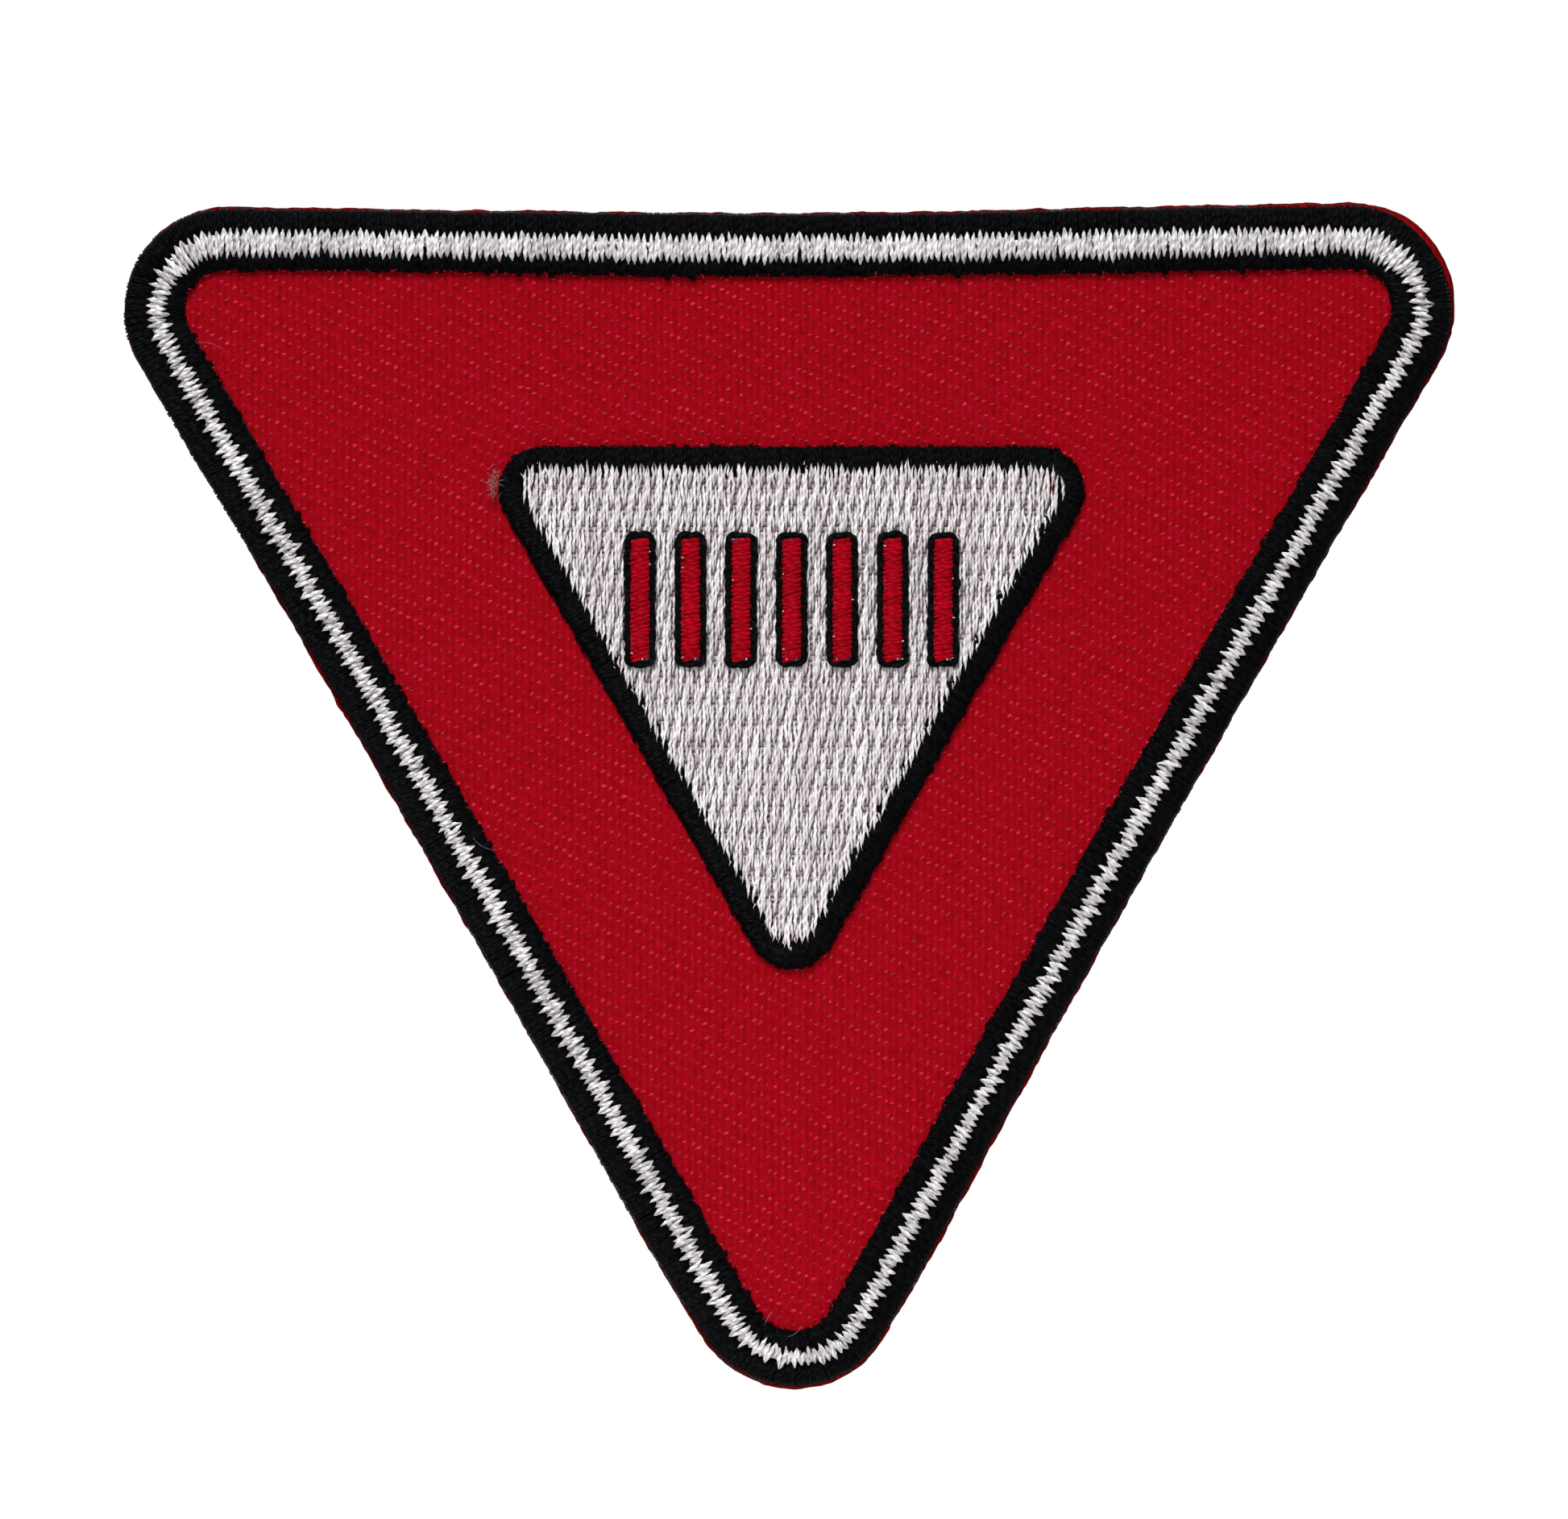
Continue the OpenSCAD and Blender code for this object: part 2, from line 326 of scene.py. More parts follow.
def make_mesh(name, points, faces, values, material):
    """faces has index arrays, one row a face. values has arrays of one value a point."""
    mesh = bpy.data.meshes.new(name)
    verts = to_world(points.reshape(-1, 3))
    mesh.vertices.add(len(verts))
    mesh.vertices.foreach_set("co", verts.astype(np.float32).ravel())
    sizes = np.concatenate([np.full(len(f), f.shape[1]) for f in faces])
    corners = np.concatenate([f.ravel() for f in faces]).astype(np.int32)
    starts = np.concatenate([[0], np.cumsum(sizes)[:-1]]).astype(np.int32)
    mesh.loops.add(len(corners))
    mesh.loops.foreach_set("vertex_index", corners)
    mesh.polygons.add(len(sizes))
    mesh.polygons.foreach_set("loop_start", starts)
    mesh.polygons.foreach_set("use_smooth", np.full(len(sizes), True))
    mesh.update(calc_edges=True)
    mesh.validate()
    for key, v in values.items():
        v = np.asarray(v, np.float32)
        kind = "FLOAT" if v.ndim == 1 else "FLOAT_VECTOR"
        a = mesh.attributes.new(key, kind, "POINT")
        a.data.foreach_set("value" if v.ndim == 1 else "vector", v.ravel())
    mesh.materials.append(material)
    obj = add_object(name, mesh)
    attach(obj, ROOT)
    return obj


class Threads:
    """Collects thread tubes and turns them into one mesh."""

    def __init__(self, sides=6):
        self.sides = sides
        self.points, self.quads, self.caps, self.tone, self.run = [], [], [], [], []
        self.count = 0

    def add(self, path, half_w, half_t, tone=None, ply=0.16):
        """path is (threads, rings, 3). half_w and half_t are half the width and thickness."""
        path = np.asarray(path, float)
        n, k, _ = path.shape
        m = self.sides
        half_w = np.broadcast_to(half_w, (n, k))
        half_t = np.broadcast_to(half_t, (n, k))
        tangent = np.gradient(path, axis=1)
        tangent /= np.linalg.norm(tangent, axis=-1, keepdims=True) + 1e-12
        side = np.cross(tangent, [0.0, 0.0, 1.0])
        side /= np.linalg.norm(side, axis=-1, keepdims=True) + 1e-12
        up = np.cross(side, tangent)
        angle = np.arange(m) * 2 * math.pi / m + math.pi / m
        length = np.linalg.norm(np.diff(path, axis=1), axis=-1)
        length = np.concatenate([np.zeros((n, 1)), np.cumsum(length, 1)], 1)
        # Each thread's twist starts at its own place
        length = length + rng.uniform(0, 50, n)[:, None]
        wound = 2 * math.pi * PLY_TURNS * length[:, :, None] + 2 * angle
        lobes = 1 + ply * np.sin(wound)
        ring = (
            path[:, :, None, :]
            + side[:, :, None, :] * (half_w[:, :, None] * np.cos(angle) * lobes)[..., None]
            + up[:, :, None, :] * (half_t[:, :, None] * np.sin(angle) * lobes)[..., None]
        )
        self.points.append(ring.reshape(-1, 3))
        grid = self.count + np.arange(n * k * m).reshape(n, k, m)
        self.quads.append(ring_faces(grid))
        self.caps.append(np.concatenate([grid[:, 0, ::-1], grid[:, -1, :]]))
        if tone is None:
            tone = rng.uniform(0, 1, n)
        self.tone.append(np.broadcast_to(tone[:, None, None], (n, k, m)).ravel())
        turn = (angle / (2 * math.pi))[None, None, :]
        self.run.append(joined(length[:, :, None], turn, 0.0).reshape(-1, 3))
        self.count += n * k * m

    def build(self, name, material, slot, node=None):
        """Makes the piece with its finish, and hides the CAD node that it stands for."""
        piece = make_mesh(
            name,
            np.concatenate(self.points),
            [np.concatenate(self.quads), np.concatenate(self.caps)],
            {"tone": np.concatenate(self.tone), "run": np.concatenate(self.run)},
            material,
        )
        if node is not None:
            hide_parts(node)
        return piece


# ---------------- materials


def srgb(r, g, b):
    """Linear colour from 8-bit display values."""
    linear = (((c / 255 + 0.055) / 1.055) ** 2.4 if c > 10 else c / 255 / 12.92 for c in (r, g, b))
    return (*linear, 1.0)


class Shader:
    """The node tree of a material or world, with short calls."""

    def __init__(self, name, group=bpy.data.materials):
        self.made = group.new(name)
        self.made.use_nodes = True
        self.nodes = self.made.node_tree.nodes
        self.links = self.made.node_tree.links
        self.surface = self.nodes.get("Principled BSDF")

    def node(self, kind, **values):
        n = self.nodes.new("ShaderNode" + kind)
        for key, v in values.items():
            setattr(n, key, v)
        return n

    def set(self, socket, value):
        """Gives an input a plain value, or links it to an output."""
        if isinstance(value, bpy.types.NodeSocket):
            self.links.new(value, socket)
        else:
            socket.default_value = value

    def put(self, node, **inputs):
        for key, v in inputs.items():
            self.set(node.inputs[key.replace("_", " ")], v)

    def math(self, op, a, b=0.0, clamp=False):
        n = self.node("Math", operation=op, use_clamp=clamp)
        self.set(n.inputs[0], a)
        self.set(n.inputs[1], b)
        return n.outputs[0]

    def total(self, *parts):
        """The sum of pairs of a value and its weight."""
        value = self.math("MULTIPLY", *parts[0])
        for part in parts[1:]:
            value = self.math("ADD", value, self.math("MULTIPLY", *part))
        return value

    def ramp(self, value, *stops):
        n = self.node("ValToRGB")
        self.put(n, Fac=value)
        elements = n.color_ramp.elements
        while len(elements) < len(stops):
            elements.new(0.5)
        for e, (at, colour) in zip(elements, stops):
            e.position = at
            e.color = colour
        return n.outputs["Color"]

    def attribute(self, name, output):
        return self.node("Attribute", attribute_name=name).outputs[output]

    def where(self):
        """The place on the object, in metres."""
        return self.node("TexCoord").outputs["Object"]

    def axes(self, vector):
        n = self.node("SeparateXYZ")
        self.put(n, Vector=vector)
        return n.outputs

    def noise(self, scale, detail, vector, rough=0.5):
        n = self.node("TexNoise")
        self.put(n, Vector=vector, Scale=scale, Detail=detail, Roughness=rough)
        return n.outputs["Fac"]

    def bump(self, height, strength, distance):
        n = self.node("Bump")
        self.put(n, Strength=strength, Distance=distance, Height=height)
        self.put(self.surface, Normal=n.outputs["Normal"])

    def blend(self, factor, a, b, output):
        """Mixes two shaders into the tree's output."""
        n = self.node("MixShader")
        for socket, value in zip(n.inputs, (factor, a, b)):
            self.set(socket, value.outputs[0] if hasattr(value, "outputs") else value)
        self.links.new(n.outputs[0], self.nodes[output].inputs[0])

    def finish(self, **inputs):
        self.put(self.surface, **inputs)
        return self.made


def thread_material(name, dark, light, rough, sheen, spec, coat=0.0):
    """Twisted embroidery thread: two plies wind round it, with fine filaments on top. The ply term
    in its colour paints shade into the grooves between the plies and a highlight onto the plies.
    """
    s = Shader(name)
    run = s.attribute("run", "Vector")
    tone = s.attribute("tone", "Fac")
    along, around, _ = s.axes(run)
    turns = s.total((along, PLY_TURNS), (around, 2.0))
    ply = s.math("SINE", s.math("MULTIPLY", turns, 2 * math.pi))
    stretch = s.node("CombineXYZ")
    s.put(stretch, X=s.math("MULTIPLY", turns, 14.0), Y=s.math("MULTIPLY", along, 1.2))
    fibre = s.noise(1.0, 2.0, stretch.outputs[0])
    cloud = s.noise(260.0, 2.0, s.where())
    # The ply term darkens the colour in the grooves between the plies and lightens it on them:
    # painted shade and highlight
    shade = s.total((tone, 0.4), (fibre, 0.4), (cloud, 0.25), (ply, 0.12))
    colour = s.ramp(shade, (0.15, srgb(*dark)), (0.85, srgb(*light)))
    s.bump(s.math("ADD", s.math("MULTIPLY", ply, 0.7), fibre), 1.0, 0.00007)
    return s.finish(
        Base_Color=colour, Roughness=rough, Specular_IOR_Level=spec,
        Sheen_Weight=sheen, Sheen_Roughness=0.5, Coat_Weight=coat, Coat_Roughness=0.15,
    )


# Name, dark and light colour, roughness, sheen, specular level and coat
BLACK = thread_material("black_thread", (0, 0, 1), (8, 9, 11), 0.3, 0.0, 0.035)
WHITE = thread_material("white_thread", (178, 168, 170), (255, 250, 251), 0.28, 0.02, 0.8)
# A darker copy of the white thread, for the padding seen through the slits of the fill: painted
# shade
WHITE_UNDER_PAINTED_SHADE = thread_material("white_thread_under_painted_shade", (138, 118, 120), (188, 170, 172), 0.5, 0.0, 0.2)
# A darker copy of the white thread for the white border band: painted shade
WHITE_BAND_PAINTED_SHADE = thread_material("white_thread_band_painted_shade", (146, 139, 141), (238, 234, 235), 0.28, 0.02, 0.8)
RED = thread_material("red_thread", (124, 0, 8), (170, 0, 26), 0.45, 0.0, 0.03)
BOBBIN = thread_material("bobbin_thread", (190, 189, 183), (228, 227, 222), 0.45, 0.03, 0.5, 0.5)
# A lighter, pinker copy of the twill's red, for its floats and loose yarn ends: painted highlight
FLOAT = thread_material("red_twill_float_painted_highlight", (140, 3, 20), (190, 36, 56), 0.5, 0.0, 0.06)
LINT = thread_material("lint", (120, 92, 94), (196, 176, 177), 0.7, 0.05, 0.2)


def twill_material():
    """Red polyester twill: yarns in a right-falling 3/1 lattice, with dyed filaments. The weave
    term in its colour paints shade between the yarns' crossings and a highlight on them.
    """
    s = Shader("red_twill")
    where = s.where()
    parts = s.axes(where)
    u = s.math("DIVIDE", parts[0], YARN_ACROSS * MM)
    v = s.math("DIVIDE", parts[2], YARN_REPEAT * MM)
    v = s.math("ADD", v, s.math("MULTIPLY", u, YARN_STEP / YARN_REPEAT))
    warp = s.math("COSINE", s.math("MULTIPLY", u, 2 * math.pi))
    weft = s.math("COSINE", s.math("MULTIPLY", v, 8 * math.pi))
    diagonal = s.math("COSINE", s.math("MULTIPLY", v, 2 * math.pi))
    stretch = s.node("CombineXYZ")
    s.put(stretch, X=s.math("MULTIPLY", u, 5.0), Y=s.math("MULTIPLY", v, 2.2))
    filament = s.noise(1.0, 3.0, stretch.outputs[0], 0.6)
    mottle = s.noise(2100.0, 3.0, where, 0.6)
    fine = s.noise(2600.0, 2.0, where)
    weave = s.total((warp, 0.35), (weft, 0.06), (diagonal, 0.08))
    tone = s.attribute("tone", "Fac")
    # The weave term darkens the colour between the floats and lightens it at them: painted shade
    # and highlight
    shade = s.total((filament, 0.3), (mottle, 0.5), (fine, 0.2), (tone, 0.25), (weave, 0.14))
    colour = s.ramp(
        shade, (0.05, srgb(56, 0, 2)), (0.32, srgb(100, 0, 0)),
        (0.55, srgb(127, 0, 11)), (0.8, srgb(150, 2, 34)),
    )
    s.bump(s.math("ADD", weave, s.math("MULTIPLY", filament, 0.9)), 0.4, 0.00005)
    return s.finish(Base_Color=colour, Roughness=0.62, Specular_IOR_Level=0.03)


def film_material():
    """Iron-on film: glossy milky glue over a non-woven backing."""
    s = Shader("adhesive_film")
    where = s.where()
    cloud = s.noise(70.0, 4.0, where, 0.6)
    web = s.noise(900.0, 4.0, where, 0.65)
    ripple = s.noise(180.0, 2.0, where)
    dimples = s.node("TexVoronoi")
    s.put(dimples, Vector=where, Scale=1500.0)
    shade = s.total((cloud, 0.4), (web, 0.6))
    colour = s.ramp(shade, (0.35, srgb(184, 179, 164)), (0.65, srgb(226, 223, 213)))
    relief = s.math("ADD", web, s.math("MULTIPLY", dimples.outputs["Distance"], 0.6))
    s.bump(s.math("ADD", relief, s.math("MULTIPLY", ripple, 3.0)), 0.6, 0.0001)
    return s.finish(
        Base_Color=colour, Roughness=0.32, Specular_IOR_Level=0.5, Coat_Weight=0.4,
        Coat_Roughness=0.12, Subsurface_Weight=0.1, Subsurface_Radius=(0.0006, 0.0006, 0.0005),
    )


def stabilizer_material():
    """White non-woven backing, a felt of random short fibres."""
    s = Shader("stabilizer")
    where = s.where()
    stretched = s.node("Mapping")
    s.put(stretched, Vector=where, Scale=(1.0, 1.0, 6.0))
    web = s.noise(1100.0, 4.0, stretched.outputs[0], 0.7)
    other = s.noise(1500.0, 3.0, where, 0.7)
    shade = s.math("MULTIPLY", s.math("ADD", web, other), 0.5)
    colour = s.ramp(shade, (0.35, srgb(196, 194, 188)), (0.7, srgb(236, 235, 230)))
    s.bump(s.math("ADD", web, other), 0.6, 0.00008)
    return s.finish(Base_Color=colour, Roughness=0.8, Specular_IOR_Level=0.2)


TWILL = twill_material()
FILM = film_material()
STABILIZER = stabilizer_material()

# ---------------- satin bands

# How unevenly the needle goes in, as a share of the pitch
NEEDLE_WANDER = 0.03
# How far the white tips reach over the black bands, and how far those run on under them
SPIKE = 0.4
LAP = 0.62
EDGE_LAP = 0.5
BLACK_OPTIONS = {"point": 0.25, "blunt": 0.6, "r": 0.15, "split": 0.17}


def satin_shape(t, power=2.6):
    """Rise of a satin stitch: steep at its two needle holes and flat across the top."""
    return np.sqrt(np.clip(1 - np.abs(2 * t - 1) ** power, 0, 1))


def satin_band(
    threads, loop, out, inn, end_h, crest_h, *, r, split, tip=0.05, rings=9, point=0.3,
    blunt=0.5, lift=0.02, ply=0.16, wander=0.035, out_by_side=(0, 0, 0),
    in_by_side=(0, 0, 0), short_by_side=(0, 0, 0), corner_out=0.0,
):
    """Zigzags a thread between two lines, out and inn from the loop.

    tip, lift and wander are how far it strays at its tips, upwards and along the loop. A stitch
    starts blunt times its half width r and reaches it after the length point, one number or
    one a side. split is the gap at a needle hole, and short_by_side draws in every second tip.
    """
    pairs = int(round(loop.length / SATIN_PITCH))
    step = loop.length / pairs
    s_out = np.arange(pairs) * step + jitter(NEEDLE_WANDER * step, pairs)
    s_in = s_out + step / 2 + jitter(NEEDLE_WANDER * step, pairs)
    at_out, at_in = loop.at(s_out)[1], loop.at(s_in)[1]
    tips_out = out + jitter(tip, pairs) + by_side(at_out, out_by_side)
    tips_in = inn - jitter(tip, pairs) + by_side(at_in, in_by_side)
    tips_out = tips_out + corner_out * upper_right(at_out)
    second = np.arange(pairs) % 2
    tips_out = tips_out - second * by_side(at_out, short_by_side)
    tips_in = tips_in + second * by_side(at_in, short_by_side)
    s_next = np.append(s_out[1:], s_out[0] + loop.length)
    start_s = np.stack([s_out, s_in], 1).ravel() + split / 2
    end_s = np.stack([s_in, s_next], 1).ravel() - split / 2
    start_o = np.stack([tips_out, tips_in], 1).ravel()
    end_o = np.stack([tips_in, np.roll(tips_out, -1)], 1).ravel()
    count = 2 * pairs
    # Rings closer together near the needle holes, where the stitch bends most
    t = np.linspace(0, 1, rings)
    t = 0.5 - 0.5 * np.cos(math.pi * t) * (1 - 0.25 * swell(t))
    t = (t - t[0]) / (t[-1] - t[0])
    strays_by = jitter(wander, count)[:, None] * swell(t)
    s = between(start_s[:, None], end_s[:, None], t) + strays_by
    points, _ = loop.at(s, between(start_o[:, None], end_o[:, None], t))
    rise = satin_shape(t)
    height = end_h + (crest_h - end_h) * rise + jitter(lift, count)[:, None] * rise
    if not np.isscalar(point):
        point = by_side(loop.at(start_s)[1], point)[:, None]
    from_end = np.minimum(t, 1 - t) * abs(out - inn) / point
    half_w = r * (blunt + (1 - blunt) * np.clip(from_end, 0, 1) ** 0.8)
    threads.add(raised(points, height), half_w, half_w * 0.62, ply=ply)


def pulled_loops(threads, loop, half):
    """Where the top thread is drawn through to the back, at both edges of a satin column."""
    pairs = int(round(loop.length / SATIN_PITCH))
    step = loop.length / pairs
    t = np.linspace(0, 1, 5)
    for side, phase in ((1, 0.25), (-1, 0.75)):
        s0 = (np.arange(pairs) + phase) * step + jitter(0.03, pairs)
        reach = 0.4 * (1 + jitter(0.14, pairs))[:, None]
        s = s0[:, None] + jitter(0.05, pairs)[:, None] * t
        points, _ = loop.at(s, side * (half - reach * t))
        h = BACK_H + 0.04 - 0.05 * swell(t) ** 0.5
        half_w = 0.1 * taper(t, 0.08, 0.9, 0.4)
        threads.add(raised(points, h), half_w, half_w * 0.5)


def border_piece(name, node, slot, material, depths, heights, back, **options):
    """A satin band of the border. depths and back are its two edges on the face and behind."""
    threads = Threads()
    middle = sum(depths) / 2
    out, inn = middle - depths[0], middle - depths[1]
    satin_band(threads, border_loop(middle), out, inn, *heights, **options)
    pulled_loops(threads, border_loop(sum(back) / 2), (back[1] - back[0]) / 2)
    threads.build(name, material, slot, node)


border_piece(
    "outer_black_stitches", "border_black_outer", "black_thread", BLACK,
    (OUTER_IN - 0.08, WHITE_IN + LAP), (BLACK_END, BLACK_CREST), (OUTER_IN, WHITE_IN),
    tip=0.03, corner_out=-0.2, **BLACK_OPTIONS,
)
border_piece(
    "inner_black_stitches", "border_black_inner", "black_thread", BLACK,
    (INNER_IN - LAP, FIELD_IN - 0.03), (BLACK_END, BLACK_CREST), (INNER_IN, FIELD_IN - 0.08),
    tip=0.09, **BLACK_OPTIONS,
)
# The white band takes the darker copy of the white thread: painted shade
border_piece(
    "white_stitches", "border_white", "white_thread", WHITE_BAND_PAINTED_SHADE,
    (WHITE_IN - SPIKE, INNER_IN + SPIKE), (FACE_H + 0.56, BORDER_TOP - 0.03),
    (WHITE_IN, INNER_IN), tip=0.09, rings=10, r=0.15, point=(0.58, 0.8, 0.8), blunt=0.08,
    lift=0.06, split=0.02, ply=0.32, wander=0.06, out_by_side=(-0.3, -0.37, -0.25),
    in_by_side=(-0.16, 0.04, 0.28), short_by_side=(0.05, 0.26, 0.26),
)


def panel_edge_piece():
    half = FILL_DEPTH / 2
    threads = Threads()
    satin_band(
        threads, panel_loop(half), half, -half - EDGE_LAP, BLACK_END, EDGE_CREST,
        tip=0.06, **BLACK_OPTIONS,
    )
    pulled_loops(threads, panel_loop(half), half)
    threads.build("panel_edge_stitches", BLACK, "black_thread", "panel_edge")


panel_edge_piece()

# ---------------- hidden and back threads

# How far inside its band a thread stays
PADDING_MARGIN = 0.22
BOBBIN_MARGIN = 0.36
# Each band's outline, two edges, thread, and the height of the stitches over its padding
BANDS = (
    ("border_outer", border_loop, OUTER_IN, WHITE_IN, BLACK, "black_thread", BLACK_CREST),
    ("border_white", border_loop, WHITE_IN, INNER_IN, WHITE, "white_thread", BORDER_TOP - 0.1),
    ("border_inner", border_loop, INNER_IN, FIELD_IN, BLACK, "black_thread", BLACK_CREST),
    ("panel_edge", panel_loop, 0.0, FILL_DEPTH, BLACK, "black_thread", EDGE_CREST),
)


def padding(band, slot, material, loop, half, crest):
    """Threads sewn along a band and then zigzagged over, which the satin is laid across."""
    threads = Threads(sides=5)
    s = np.linspace(0, loop.length, int(loop.length / 0.6) + 1)
    for lane in np.linspace(-half, half, max(3, int(round(2 * half / 0.3)))):
        wave = lane + 0.03 * np.sin(s * 2 * math.pi / loop.length * 40 + lane * 9)
        points, _ = loop.at(s, wave)
        rise = math.sqrt(1 - (lane / (half * 1.12)) ** 2)
        h = FACE_H + 0.08 + (crest - FACE_H - 0.22) * rise
        threads.add(raised(points, h)[None], 0.19, 0.1, np.array([rng.uniform()]))
    count = 2 * int(loop.length / 1.5)
    t = np.linspace(0, 1, 5)
    s = (np.arange(count) * loop.length / count)[:, None] + t * loop.length / count
    points, _ = loop.at(s, zigzag(count) * half * (1 - 2 * t))
    rise = np.sqrt(np.clip(1 - (1 - 2 * t) ** 2 * 0.8, 0, 1))
    h = FACE_H + 0.06 + (crest - FACE_H - 0.14) * rise
    threads.add(raised(points, h), 0.09, 0.06)
    threads.build(f"padding_{band}", material, slot, f"underlay_{band}")


def bobbin_band(band, loop, reach):
    """The bobbin thread behind a satin band."""
    threads = Threads(sides=5)
    satin_band(
        threads, loop, reach, -reach, BACK_H + 0.07, BACK_H + 0.005,
        rings=6, r=0.105, lift=0.006, split=0.1,
    )
    threads.build(f"bobbin_stitches_{band}", BOBBIN, "bobbin_thread", f"bobbin_{band}")


for band, outline, outer, inner, material, slot, crest in BANDS:
    half = (inner - outer) / 2
    loop = outline((outer + inner) / 2)
    padding(band, slot, material, loop, half - PADDING_MARGIN, crest)
    bobbin_band(band, loop, half - BOBBIN_MARGIN)

# ---------------- white fill

# Where the needle holes of four neighbouring columns fall, as parts of a stitch
FILL_OFFSETS = (0.12, 0.0, 0.62, 0.5)
# How far the columns reach over the black edge, all round and at their upper and lower ends
FILL_REACH = 0.06
FILL_UP = 0.22
FILL_DOWN = 0.1
SHORTEST_STITCH = 0.5


def column_end(x, inside, outside, circle, r):
    """Where columns x leave a rounded triangle, by halving from a v inside it and one outside."""
    for _ in range(40):
        mid = (inside + outside) / 2
        within = depth_in(joined(x, mid), circle, r) > 0
        inside, outside = np.where(within, mid, inside), np.where(within, outside, mid)
    return inside


def panel_columns(circle, r, pitch):
    """The number, place, lowest and highest v of each column that crosses the panel."""
    count = int(circle / math.tan(CORNER_ANGLE / 2) / pitch)
    x = np.arange(-count, count + 1) * pitch
    start = np.full_like(x, circle - r / 2)
    crosses = depth_in(joined(x, start), circle, r) > 0
    ends = (column_end(x, start, v, circle, r) for v in (-2.2 * circle, circle + 1))
    columns = enumerate(zip(crosses, x, *ends), -count)
    return count, [(k, *column) for k, (ok, *column) in columns if ok]


def fill_columns():
    """The fill's stitches: u, v, u, v, first of its column or not, last or not, and tone."""
    count, columns = panel_columns(FILL_CIRCLE + FILL_REACH, FILL_R + FILL_REACH, FILL_PITCH)
    uneven_up = jitter(0.13, count + 2)
    uneven_down = jitter(0.13, count + 2)
    rows = []
    for c, place, low, high in columns:
        if high - low < SHORTEST_STITCH:
            continue
        index = c + count
        # Neighbouring columns share a needle hole at each end
        turn = 0.5 * FILL_PITCH if index % 2 == 0 else -0.5 * FILL_PITCH
        high += uneven_up[index // 2] + FILL_UP
        low -= uneven_down[(index + 1) // 2] - FILL_DOWN
        first = math.floor(low / FILL_STITCH) * FILL_STITCH - FILL_OFFSETS[c % 4] * FILL_STITCH
        holes = np.arange(first, high + FILL_STITCH, FILL_STITCH)
        holes = holes[(holes > low + SHORTEST_STITCH) & (holes < high - SHORTEST_STITCH)]
        v = np.concatenate([[low], holes + jitter(0.06, len(holes)), [high]])
        u = np.full(len(v), place) + jitter(0.018, len(v))
        u[0], u[-1] = place - turn, place + turn
        tone = rng.uniform(0.1, 0.9)
        last = len(v) - 2
        for k in range(last + 1):
            shade = np.clip(tone + rng.normal(0, 0.2), 0, 1)
            rows.append((u[k], v[k], u[k + 1], v[k + 1], k == 0, k == last, shade))
    return np.array(rows, float)


def fill_stitches():
    """Columns of long stitches, whose first and last turn down over the panel's black edge."""
    rows = fill_columns()
    count = len(rows)
    u0, v0, u1, v1, first, last, _ = (rows[:, k : k + 1] for k in range(7))
    first, last = first > 0, last > 0
    t = np.linspace(0, 1, 21)
    length = v1 - v0
    from_start, from_end = t * length, (1 - t) * length
    nearest = np.minimum(t, 1 - t) * length
    bulge = jitter(0.042, count)[:, None] * swell(t)
    bulge = bulge + jitter(0.032, count)[:, None] * np.sin(3 * math.pi * t)
    u = np.where(last, u0, np.where(first, u1, between(u0, u1, t)))
    u = u + np.where(first, (u0 - u) * np.exp(-from_start / 0.4), 0)
    u = u + np.where(last, (u1 - u) * np.exp(-from_end / 0.4), 0) + bulge
    over_edge = np.where(first, np.exp(-from_start / 0.7), 0)
    over_edge = over_edge + np.where(last, np.exp(-from_end / 0.7), 0)
    at_edge = (first & (t < 0.5)) | (last & (t >= 0.5))
    end_h = np.where(at_edge, EDGE_TOP - 0.07, FILL_H - 0.36)
    crest = FILL_H - 0.02 + jitter(0.012, count)[:, None] + 0.2 * over_edge
    h = end_h + (crest - end_h) * (1 - np.exp(-nearest / 0.3))
    pinch = 0.12 + 0.88 * (1 - np.exp(-nearest / 0.45))
    tip = np.where(at_edge, np.clip(nearest / 0.5, 0.12, 1) ** 0.7, 1.0)
    half_w = 0.12 * pinch * tip * (1 + jitter(0.06, count)[:, None])
    paths = joined(u, between(v0, v1, t), h)
    for side, part in (("left", rows[:, 0] < 0), ("right", rows[:, 0] >= 0)):
        threads = Threads()
        threads.add(paths[part], half_w[part], half_w[part] * 0.95, rows[part, 6], ply=0.32)
        threads.build(f"white_fill_{side}", WHITE, "white_thread", "panel_fill")


def lines_across(circle, r, pitch):
    """The two ends of each row across the panel."""
    lines = []
    u = np.linspace(-circle * 2.2, circle * 2.2, 500)
    for v in np.arange(circle - 0.4, circle - 3.2 * circle, -pitch):
        inside = u[depth_in(joined(u, v), circle, r) > 0]
        if len(inside) > 3:
            lines.append(((inside[0], v), (inside[-1], v)))
    return lines


def lines_down(circle, r, pitch):
    """The two ends of each column down the panel."""
    _, columns = panel_columns(circle, r, pitch)
    return [((u, low), (u, high)) for _, u, low, high in columns if high - low > 0.6]


